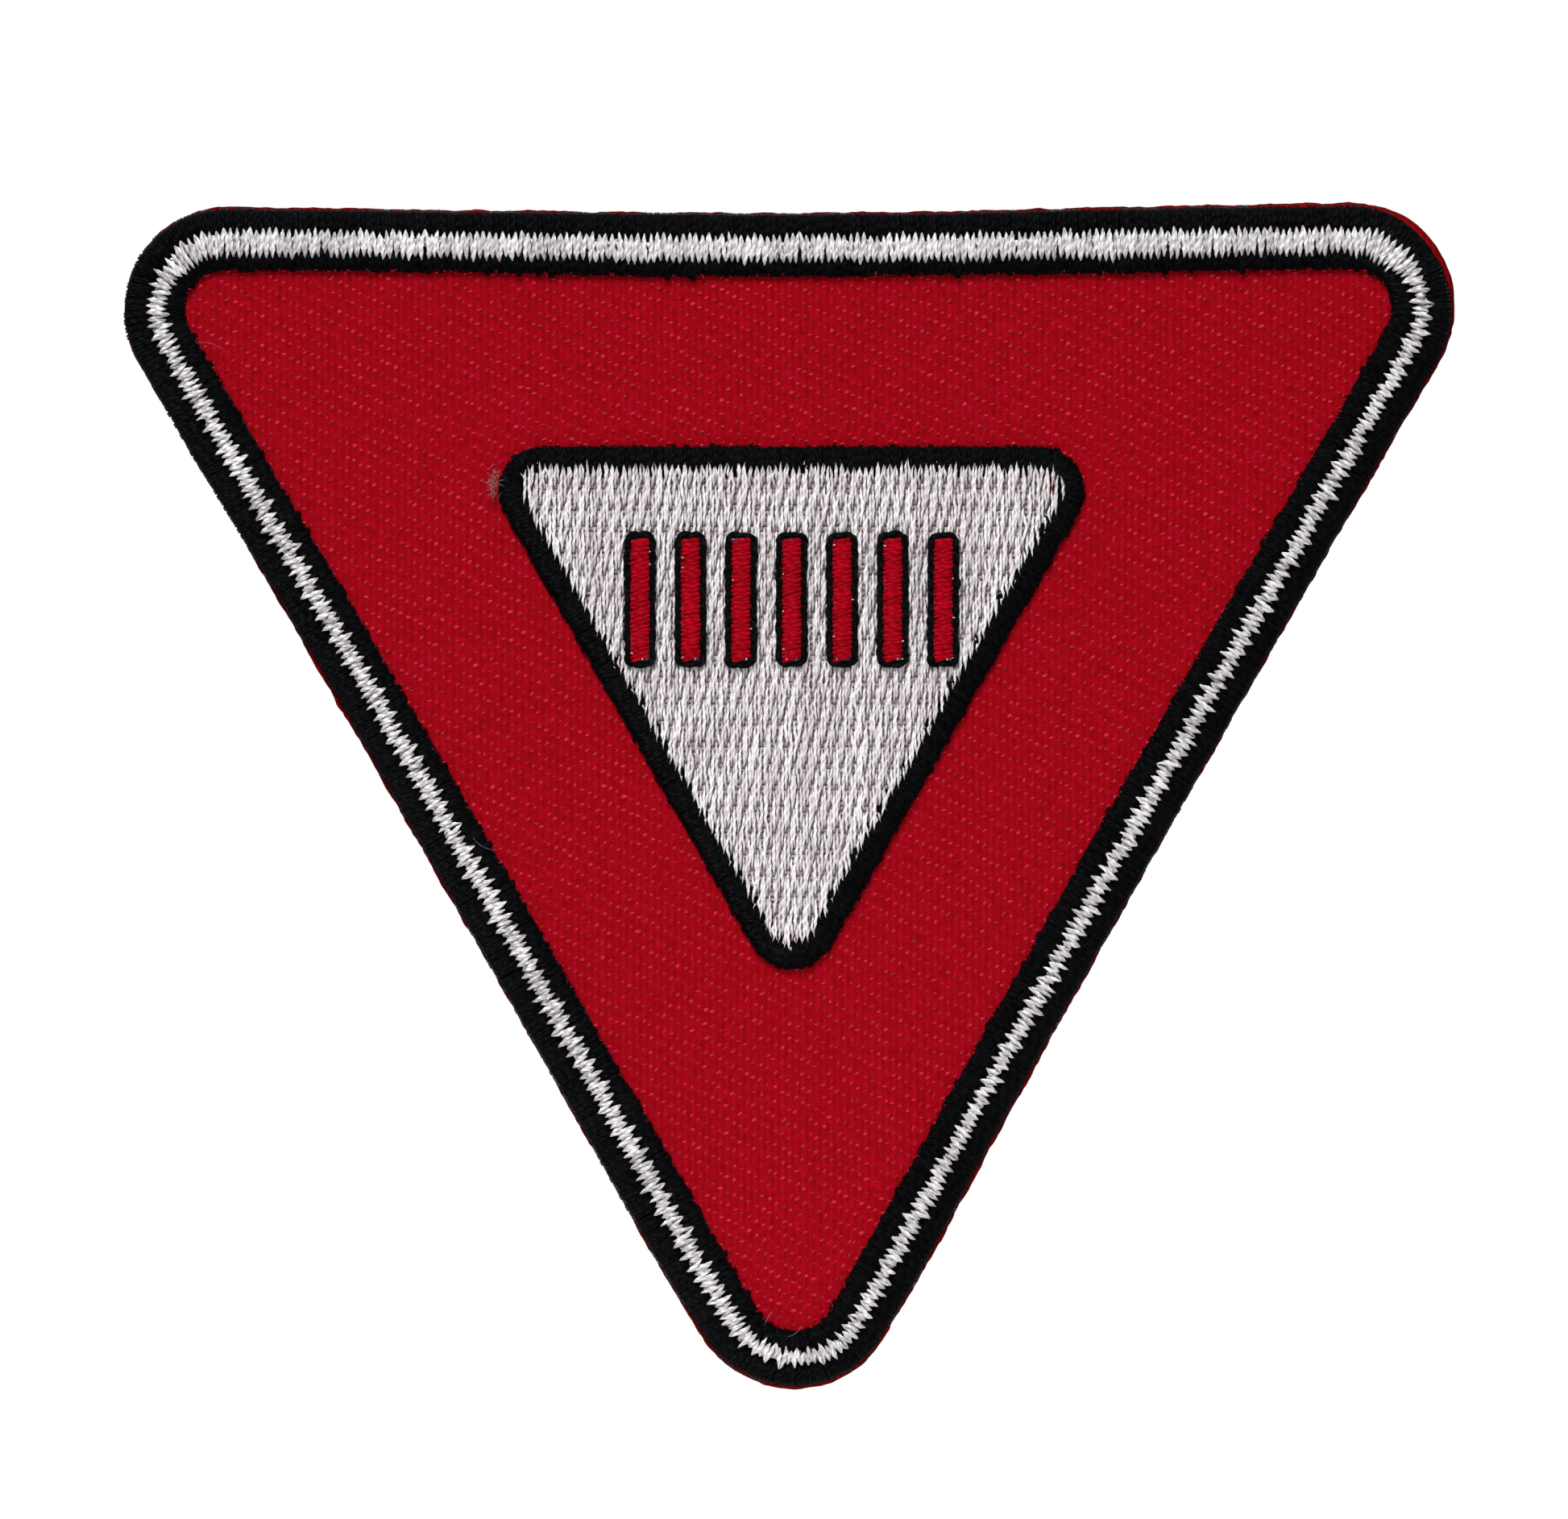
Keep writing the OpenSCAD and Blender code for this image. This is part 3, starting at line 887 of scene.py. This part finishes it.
def panel_lines(name, node, slot, material, lines, h, r, dip_h):
    """Parallel threads over the panel. At their needle holes they are thinner, dip_h off h."""
    threads = Threads(sides=5)
    for k, (a, b) in enumerate(np.array(lines)):
        length = np.linalg.norm(b - a)
        t = np.linspace(0, 1, max(4, int(length / 0.48) + 1))
        p = between(a, b, t[:, None])
        p = p + jitter(0.012, p.shape)
        phase = (t * length / FILL_STITCH + FILL_OFFSETS[k % 4]) % 1
        dip = np.exp(-((np.minimum(phase, 1 - phase) * FILL_STITCH / 0.2) ** 2))
        path, half_w = raised(p, h + dip_h * dip), r * (1 - 0.3 * dip)
        threads.add(path[None], half_w[None], 0.55 * r, np.array([rng.uniform()]))
    threads.build(name, material, slot, node)


fill_stitches()
# The padding under the fill takes the darker copy of the white thread: painted shade in the slits
panel_lines(
    "padding_panel_fill", "underlay_panel_fill", "white_thread", WHITE_UNDER_PAINTED_SHADE,
    lines_across(FILL_CIRCLE - 0.5, FILL_R, 0.36), FACE_H + 0.07, 0.2, 0.0,
)
panel_lines(
    "bobbin_stitches_panel_fill", "bobbin_panel_fill", "bobbin_thread", BOBBIN,
    lines_down(FILL_CIRCLE, FILL_R, 0.405), BACK_H + 0.015, 0.13, 0.04,
)

# ---------------- bars

BAR_PITCH = 0.3
BAR_LEAN = 0.26
# How far in from a bar's ends its first and last holes are, and how far past its sides
BAR_INSET = 0.06
BAR_LAP = 0.17
RUN_STITCH = 0.85
OUTLINE_R = 0.45


def dashes(threads, points, headings, length):
    """Short stretches of top thread that show on the back."""
    t = np.linspace(0, 1, 5)
    reach = (length * (1 + jitter(0.12, len(points))))[:, None] * t
    u = points[:, :1] + np.cos(headings)[:, None] * reach
    v = points[:, 1:] + np.sin(headings)[:, None] * reach
    half_w = 0.09 * taper(t, 0.08, 0.92, 0.4)
    threads.add(joined(u, v, BACK_H - 0.02 - 0.02 * swell(t)), half_w, half_w * 0.45)


def bar_stitches(i):
    """A bar's satin, slanted a little, with its dashes on the back."""
    lo, hi = cad_size(f"bar_{i}")
    threads = Threads()
    length = hi[1] - lo[1]
    pairs = int(round(length / BAR_PITCH))
    count = 2 * pairs
    run = length - 2 * BAR_INSET
    v0 = lo[1] + BAR_INSET + np.arange(pairs) * run / pairs
    v1 = v0 + run / pairs / 2
    v2 = np.append(v0[1:], hi[1] - BAR_INSET)
    start = np.stack([v0, v1], 1).ravel() + jitter(0.012, count)
    end = np.stack([v1, v2], 1).ravel() + jitter(0.012, count)
    left = lo[0] - BAR_LAP + jitter(0.03, count)
    right = hi[0] + BAR_LAP + jitter(0.03, count)
    flip = np.arange(count) % 2 == 1
    t = np.linspace(0, 1, 9)
    u = between(np.where(flip, right, left)[:, None], np.where(flip, left, right)[:, None], t)
    v = between(start[:, None], end[:, None], t) + BAR_LEAN * (u - (lo[0] + hi[0]) / 2)
    v = np.clip(v, lo[1] - 0.04, hi[1] + 0.04)
    h = FILL_H - 0.02 + (BAR_TOP - 0.08 - FILL_H) * satin_shape(t, 2.2)
    h = h + jitter(0.015, count)[:, None]
    half_w = 0.125 * taper(t, 0.05, 0.95, 0.15)
    threads.add(joined(u, v, h), half_w, half_w * 0.4)
    hole = np.where(flip, lo[0] + 0.02, hi[0] - 0.02)
    dashes(threads, np.stack([hole, start], 1), np.where(flip, 0.0, math.pi), 0.28)
    threads.build(f"bar_stitches_{i}", RED, "red_thread", f"bar_{i}")


def bar_outline_stitches(i):
    """Run stitches sewn three times round a bar, so that they lie like a row of beads."""
    lo, hi = (corner[:2] for corner in cad_size(f"bar_outline_{i}"))
    band = cad_size(f"bar_{i}")[0][0] - lo[0]
    half = (hi - lo) / 2 - band / 2 - OUTLINE_R
    centres = (hi + lo) / 2 + half * [[1, -1], [1, 1], [-1, 1], [-1, -1]]
    loop = Loop(centres, np.arange(4) * math.pi / 2, OUTLINE_R)
    first_side = loop.starts[1]
    threads = Threads()
    count = int(round(loop.length / RUN_STITCH))
    step = loop.length / count
    t = np.linspace(0, 1, 8)
    for lane, lift in ((-0.1, 0.0), (0.1, 0.01), (0.0, 0.07)):
        s = first_side + (np.arange(count) + rng.uniform(0, 1)) * step
        swing = lane + jitter(0.035, count)[:, None] * swell(t)
        points, _ = loop.at(s[:, None] + t * step * 1.06, swing)
        half_w = (0.09 + 0.075 * swell(t)) * (1 + jitter(0.08, count)[:, None])
        threads.add(raised(points, FILL_H + lift + 0.2 * swell(t) ** 0.5), half_w, half_w * 0.85)
    points, normals = loop.at(first_side + np.arange(24) * loop.length / 24)
    dashes(threads, points, np.arctan2(normals[:, 0], -normals[:, 1]), 0.3)
    threads.build(f"bar_outline_stitches_{i}", BLACK, "black_thread", f"bar_outline_{i}")


def bar_threads_beneath():
    """The padding in the bars, and the bobbin thread behind them with its travelling stitch."""
    pad, back = Threads(sides=5), Threads(sides=5)
    for i in BAR_NUMBERS:
        lo, hi = cad_size(f"bar_{i}")
        lo, hi = lo[:2] + 0.3, hi[:2] - 0.3
        middle = (lo[0] + hi[0]) / 2
        t = np.linspace(0, 1, 14)
        for u in (middle - 0.2, middle + 0.2):
            path = joined(u, lo[1] + (hi[1] - lo[1]) * t, FILL_H + 0.14)
            pad.add(path[None], 0.2, 0.13, np.array([0.5]))
        rows = int((hi[1] - lo[1]) / 0.2)
        v = np.linspace(lo[1], hi[1], rows)[:, None]
        t = np.linspace(0, 1, 5)
        u = middle + zigzag(rows) * 0.3 * (1 - 2 * t)
        h = BACK_H - 0.035 + 0.05 * (1 - 2 * t) ** 4
        back.add(joined(u, v + 0.2 * t, h), 0.1, 0.045)
    (first_lo, first_hi), (last_lo, last_hi) = cad_size("bar_1"), cad_size("bar_7")
    t = np.linspace(0, 1, 24)
    u = between((first_lo[0] + first_hi[0]) / 2, (last_lo[0] + last_hi[0]) / 2, t)
    v = first_lo[1] + (first_hi[1] - first_lo[1]) / 4 + 0.06 * np.sin(t * 40)
    back.add(joined(u, v, BACK_H - 0.035)[None], 0.1, 0.04, np.array([0.6]))
    pad.build("padding_bars", RED, "red_thread", "underlay_bars")
    back.build("bobbin_stitches_bars", BOBBIN, "bobbin_thread", "bobbin_bars")


for i in BAR_NUMBERS:
    bar_stitches(i)
    bar_outline_stitches(i)
bar_threads_beneath()

# ---------------- stray fibres and specks


def strays(threads, places, r, rings):
    """Loose fibres. Each place is u, v, h, heading in degrees, length, and how far it curls."""
    u, v, h, heading, length, curl = np.asarray(places, float).T[..., None]
    t = np.linspace(0, 1, rings)
    heading = np.radians(heading + curl * t)[:, 1:]
    step = length / (rings - 1)
    none = np.zeros_like(u)
    u = u + np.concatenate([none, np.cumsum(np.cos(heading) * step, 1)], 1)
    v = v + np.concatenate([none, np.cumsum(np.sin(heading) * step, 1)], 1)
    half_w = r * taper(t, 0.06, 0.94, 0.3)
    threads.add(joined(u, v, h + 0.05 * swell(t)), half_w, half_w)


def loose_piece(name, material, slot, sides, *groups):
    """A piece of loose fibres, from groups of places, a half width and the rings of each."""
    threads = Threads(sides)
    for group in groups:
        strays(threads, *group)
    threads.build(name, material, slot)


def pale_lint():
    """A smudge of lint beside the panel's upper left corner, and a few single fibres."""
    count = 70
    smudge = [
        -19.95 + jitter(0.16, count),
        10.0 + jitter(0.5, count),
        EDGE_TOP - 0.02 + rng.uniform(0, 0.08, count),
        rng.normal(90, 40, count),
        rng.uniform(0.2, 0.6, count),
        jitter(80, count),
    ]
    single = [
        (-39.6, 19.6, BORDER_TOP - 0.2, 15, 2.0, -55),
        (-21.3, -13.6, BORDER_TOP - 0.15, -60, 1.9, 60),
        (-1.9, -46.3, BORDER_TOP - 0.2, 80, 1.2, -30),
        (-0.4, -47.0, BORDER_TOP - 0.2, 10, 1.0, 50),
        (-21.8, -18.8, BORDER_TOP - 0.5, 60, 0.5, 30),
        (30.2, 27.0, BORDER_TOP - 0.25, 160, 1.1, 60),
    ]
    groups = (np.stack(smudge, 1), 0.014, 14), (single, 0.017, 14)
    loose_piece("pale_lint", LINT, "white_thread", 4, *groups)


def red_yarn_ends():
    """Ends of twill yarn that show along the inside of the border."""
    count = 520
    loop = border_loop(FIELD_IN)
    s = rng.uniform(0, loop.length, count)
    points, normals = loop.at(s, rng.uniform(-0.15, 0.1, count))
    outward = np.degrees(np.arctan2(normals[:, 1], normals[:, 0]))
    places = [
        points[:, 0],
        points[:, 1],
        FACE_H + rng.uniform(0.1, 0.28, count),
        outward + jitter(35, count),
        rng.uniform(0.12, 0.32, count),
        jitter(35, count),
    ]
    # The yarn ends take the lighter copy of the twill's red: painted highlight
    loose_piece("red_yarn_ends", FLOAT, "red_twill", 4, (np.stack(places, 1), 0.045, 7))


def black_thread_ends():
    places = [
        (15.3, -24.6, BORDER_TOP + 0.02, 155, 0.75, 20),
        (15.5, -24.9, BORDER_TOP + 0.02, 150, 0.6, -15),
        (38.3, 27.75, BORDER_TOP - 0.3, 60, 0.5, 60),
        (38.6, 27.8, BORDER_TOP - 0.3, 50, 0.45, 70),
        (38.9, 27.7, BORDER_TOP - 0.3, 40, 0.5, 60),
    ]
    loose_piece("black_thread_ends", BLACK, "black_thread", 5, (places, 0.1, 14))


def white_specks():
    """Specks of the fill's thread that come through the bars, at their sides and feet."""
    places = []
    for i in BAR_NUMBERS:
        lo, hi = cad_size(f"bar_{i}")
        for _ in range(3):
            side = lo[0] + 0.02 if rng.uniform() < 0.5 else hi[0] - 0.02
            v, heading = rng.uniform(lo[1], hi[1]), rng.uniform(-30, 30)
            places.append((side, v, BAR_TOP - 0.1, heading, rng.uniform(0.08, 0.2), 0))
        u = rng.uniform(lo[0] + 0.2, hi[0] - 0.2)
        places.append((u, lo[1] + 0.05, BAR_TOP - 0.12, 90, 0.14, 0))
    loose_piece("white_specks", WHITE, "white_thread", 5, (places, 0.045, 5))


pale_lint()
red_yarn_ends()
black_thread_ends()
white_specks()

# ---------------- cloth layers

EDGE_LOOP = border_loop(0.0)
# The tone of the twill's cut edge, far below the cloth's 0 to 0.3: painted shade where the cut edge
# turns down out of the light
CUT_EDGE_PAINTED_SHADE = -1.4


def edge_noise(s, step, seed):
    return smooth_noise(s, EDGE_LOOP.length, step, seed)


def twill_edge(s):
    """The cut is close to the border, and leaves more cloth at some places than others."""
    uneven = 0.1 * edge_noise(s, 14.0, 5) + 0.06 * edge_noise(s, 1.3, 6)
    uneven = np.clip(uneven + 0.04 * edge_noise(s, 0.35, 7), -0.26, 0.2)
    corner = upper_right(EDGE_LOOP.at(s)[1])
    return uneven * (1 - 0.7 * corner) + 0.16 * corner


def backing_edge(s):
    return twill_edge(s) - 0.06 + 0.03 * edge_noise(s, 0.8, 8)


def film_edge(s):
    return twill_edge(s) - 0.1 + 0.05 * edge_noise(s, 2.2, 9)


def sheet_piece(name, node, material, low_h, high_h, edge, step, rings):
    """A closed sheet with a wavy cut edge. edge gives how far it stands out at each length."""
    n = int(EDGE_LOOP.length / step)
    s = np.arange(n) * EDGE_LOOP.length / n
    out = edge(s)
    # Rings keep to the outline as far in as this, and shrink to the middle from there
    depth = CORNER_R - 0.4
    parts = np.linspace(0, 1, rings)[:-1]
    rows = [EDGE_LOOP.at(s, out * (1 - f) - depth * f)[0] for f in parts]
    core, _ = EDGE_LOOP.at(s, -depth)
    rows += [core * f for f in np.linspace(1, 0.02, rings)]
    flat = np.stack(rows)
    verts = np.concatenate([raised(flat, h).reshape(-1, 3) for h in (high_h, low_h)])
    below = len(rows) * n
    grid = np.arange(below).reshape(-1, n)
    quads = ring_faces(grid)
    here, ahead = grid[0], np.roll(grid[0], -1)
    rim = np.stack([here + below, ahead + below, ahead, here], -1)
    plug = grid[-1:]
    faces = [quads, quads[:, ::-1] + below, rim, plug, plug[:, ::-1] + below]
    tone = rng.uniform(0, 0.3, len(verts))
    # The rows at the cut edge are darkened in colour: painted shade
    tone[:n] = tone[below : below + n] = CUT_EDGE_PAINTED_SHADE
    piece = make_mesh(name, verts, faces, {"tone": tone}, material)
    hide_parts(node)
    return piece


def twill_floats():
    """The short lengths of yarn that stand up out of the weave, one on each crossing."""
    reach, span, highest = 110, 52, 30
    i, j = np.mgrid[-reach : reach + 1, -reach : reach + 1].reshape(2, -1)
    u, v = i * YARN_ACROSS, -i * YARN_STEP + j * YARN_REPEAT
    keep = (np.abs(u) < span) & (v < highest) & (v > -span)
    p = joined(u[keep], v[keep])
    drift = [smooth_noise(p[:, k] + 60, 200, 9.0, seed) for k, seed in ((1, 11), (0, 12))]
    p = p + joined(*drift) * 0.12
    p = p + jitter(0.045, p.shape)
    field = depth_in(p, PATCH_CIRCLE, CORNER_R) > FIELD_IN - 0.12
    p = p[field & (depth_in(p, PANEL_CIRCLE, PANEL_CORNER_R) < 0.06)]
    n = len(p)
    angle = np.radians(36 + jitter(14, n))[:, None]
    length = 0.41 * (1 + jitter(0.13, n))[:, None]
    t = np.linspace(-0.5, 0.5, 5)
    u = p[:, :1] + np.cos(angle) * length * t
    v = p[:, 1:] + np.sin(angle) * length * t
    rise = 1 - (2 * t) ** 2
    strong = np.clip(rng.normal(0.95, 0.24, n), 0.35, 1.35)[:, None]
    h = TWILL_TOP - 0.045 + 0.05 * strong * rise
    half_w = (0.02 + 0.11 * np.sqrt(np.clip(rise, 0, 1))) * strong
    threads = Threads(sides=4)
    # The floats take the lighter copy of the twill's red: painted highlight on their crests
    threads.add(joined(u, v, h), half_w, 0.035, rng.uniform(0.1, 1.0, n))
    return threads.build("twill_floats", FLOAT, "red_twill")


twill = sheet_piece(
    "twill_sheet", "twill_base", TWILL, STAB_H, TWILL_TOP, twill_edge, 0.22, 16
)
floats = twill_floats()
backing = sheet_piece(
    "stabilizer_sheet", "stabilizer", STABILIZER, FILM_H, STAB_H,
    backing_edge, 0.3, 10,
)
sheet_piece(
    "adhesive_film_sheet", "adhesive_film", FILM, BACK_H, FILM_H, film_edge, 0.3, 10
)

# ---------------- camera and lights

# The image's width and the patch's, and the patch's place off the middle, in its pixels
IMAGE_PX = 1946
PATCH_PX = 1646
OFF_PX = np.array([-7, 50.7])
AIMED_AT = (0, 0, -0.01)
WHITE_LIGHT = (1, 1, 1, 1)


def add_camera():
    """A long lens straight in front of the patch, which it frames as the photograph does."""
    pixel = PATCH_W / PATCH_PX
    lo, hi = cad_size("twill_base")
    aim = (lo[:2] + hi[:2]) / 2 + OFF_PX * pixel
    data = bpy.data.cameras.new("camera")
    data.lens = 300
    data.sensor_width = 36
    data.clip_start = 0.01
    camera = add_object("camera", data)
    distance = IMAGE_PX * pixel * data.lens / data.sensor_width
    camera.location = (aim[0] * MM, -distance * MM, aim[1] * MM)
    camera.rotation_euler = (math.pi / 2, 0, 0)
    bpy.context.scene.camera = camera


def area_light(name, place, size, power):
    data = bpy.data.lights.new(name, "AREA")
    data.shape = "DISK"
    data.size = size
    data.energy = power
    light = add_object(name, data)
    light.location = place
    x, y, z = np.array(place) - np.array(AIMED_AT)
    light.rotation_euler = (math.atan2(math.hypot(x, y), z), 0, math.atan2(y, x) + math.pi / 2)


def floor_disc():
    """A pale round floor below the patch that fades to the white of the studio at its rim."""
    radius, rings, spokes = 0.2, 24, 96
    r = np.linspace(0, radius, rings + 1)[1:]
    a = np.arange(spokes) * 2 * math.pi / spokes
    z = (cad_size("twill_base")[0][1] - 20) * MM
    grid = joined(np.outer(r, np.cos(a)), np.outer(r, np.sin(a)), z)
    verts = [(0, 0, z)] + [tuple(v) for v in grid.reshape(-1, 3)]
    faces = [(0, 1 + k, 1 + (k + 1) % spokes) for k in range(spokes)]
    for i in range(rings - 1):
        for k in range(spokes):
            b, n = 1 + i * spokes, (k + 1) % spokes
            faces.append((b + k, b + spokes + k, b + spokes + n, b + n))
    mesh = bpy.data.meshes.new("floor")
    mesh.from_pydata(verts, [], faces)
    s = Shader("floor")
    where = s.where()
    away = s.node("VectorMath", operation="LENGTH")
    s.put(away, Vector=where)
    past = s.math("SUBTRACT", away.outputs["Value"], 0.12)
    fade = s.math("MULTIPLY", past, 16.0, clamp=True)
    glow = s.node("Emission")
    s.put(glow, Strength=1.0, Color=WHITE_LIGHT)
    s.blend(fade, s.surface, glow, "Material Output")
    greys = (0.3, (0.84, 0.84, 0.84, 1)), (0.7, (0.88, 0.88, 0.88, 1))
    cloudy = s.ramp(s.noise(40.0, 3.0, where), *greys)
    mesh.materials.append(s.finish(Base_Color=cloudy, Roughness=0.9))
    add_object("floor", mesh)


def studio_world():
    """Light that grows from below to above, behind which the camera sees plain white."""
    s = Shader("studio", bpy.data.worlds)
    bpy.context.scene.world = s.made
    sky = s.nodes["Background"]
    up = s.axes(s.node("TexCoord").outputs["Generated"])[2]
    level = s.node("MapRange")
    s.put(level, Value=up, From_Min=-0.4, From_Max=0.9, To_Min=0.18, To_Max=0.95)
    s.put(sky, Color=WHITE_LIGHT, Strength=level.outputs[0])
    seen = s.node("Background")
    s.put(seen, Color=WHITE_LIGHT, Strength=1.0)
    rays = s.node("LightPath")
    s.blend(rays.outputs["Is Camera Ray"], sky, seen, "World Output")


add_camera()
floor_disc()
area_light("key", (-0.105, -0.385, 0.525), 0.245, 5.8)
area_light("rim", (0.5, 0.6, 0.5), 0.5, 6.0)
studio_world()
bpy.context.scene.view_settings.view_transform = "Standard"
